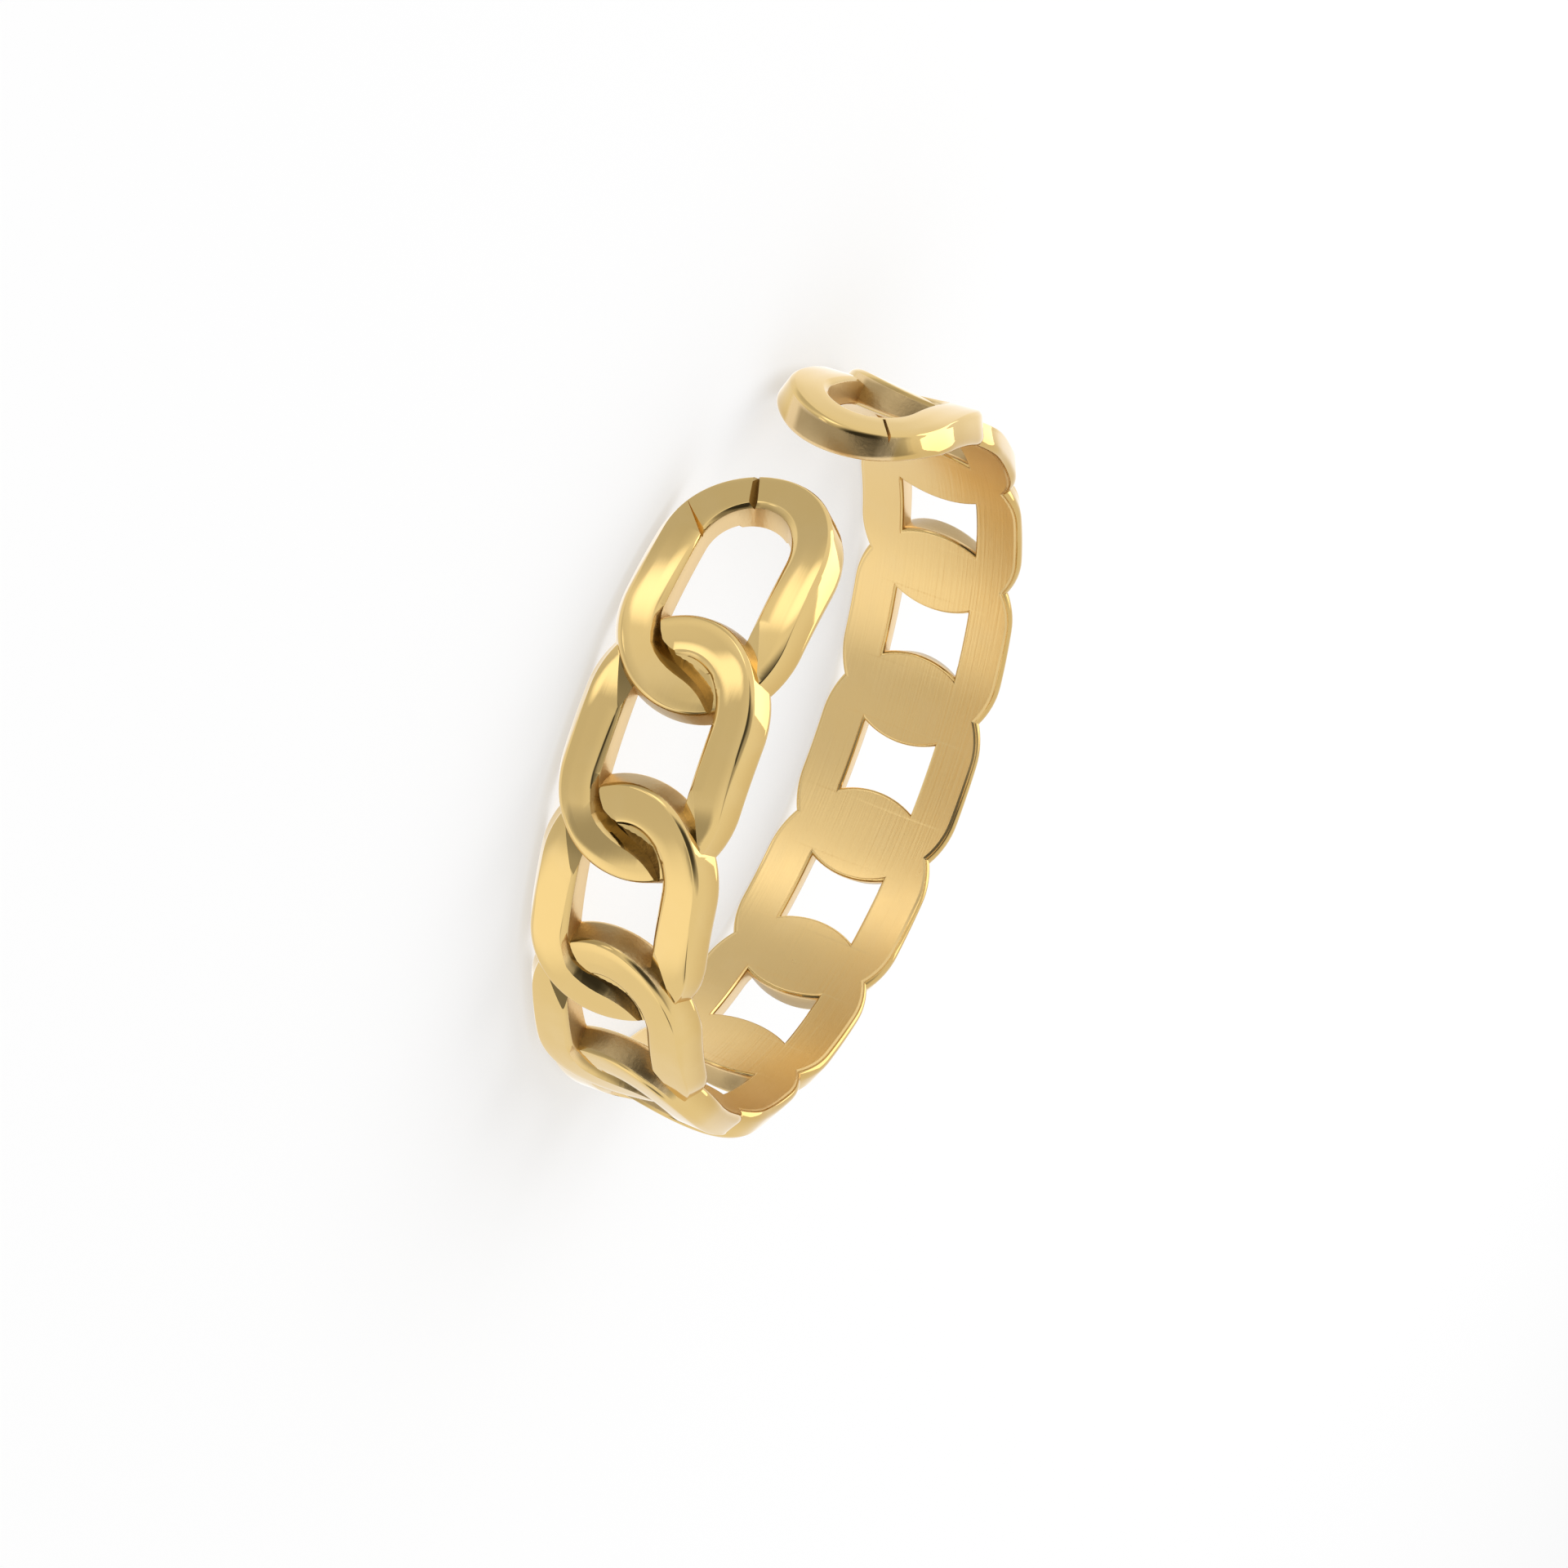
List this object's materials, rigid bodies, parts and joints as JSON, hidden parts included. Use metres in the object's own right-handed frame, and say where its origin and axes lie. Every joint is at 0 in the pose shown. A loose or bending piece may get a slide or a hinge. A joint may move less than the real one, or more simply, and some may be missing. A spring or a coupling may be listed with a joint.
{
  "type": "chain link ring",
  "caption": "Open finger ring in the form of a fused curb chain: oval links lap one another in solid pads with see-through openings between, in polished yellow metal",
  "frame": {"origin": "Middle of the finger hole, half way between the two edges of the band", "axes": "Z runs along the finger hole's axis, which is upright because the ring lies on its side. X points from the middle through the gap between the two free ends. Y completes the right-handed set"},
  "size_m": [0.0186, 0.0188, 0.0044],
  "materials": {
    "band": "polished yellow gold tone outside, satin inside the finger hole"
  },
  "bodies": {
    "root": {"link_band": "band"}
  },
  "joints": []
}
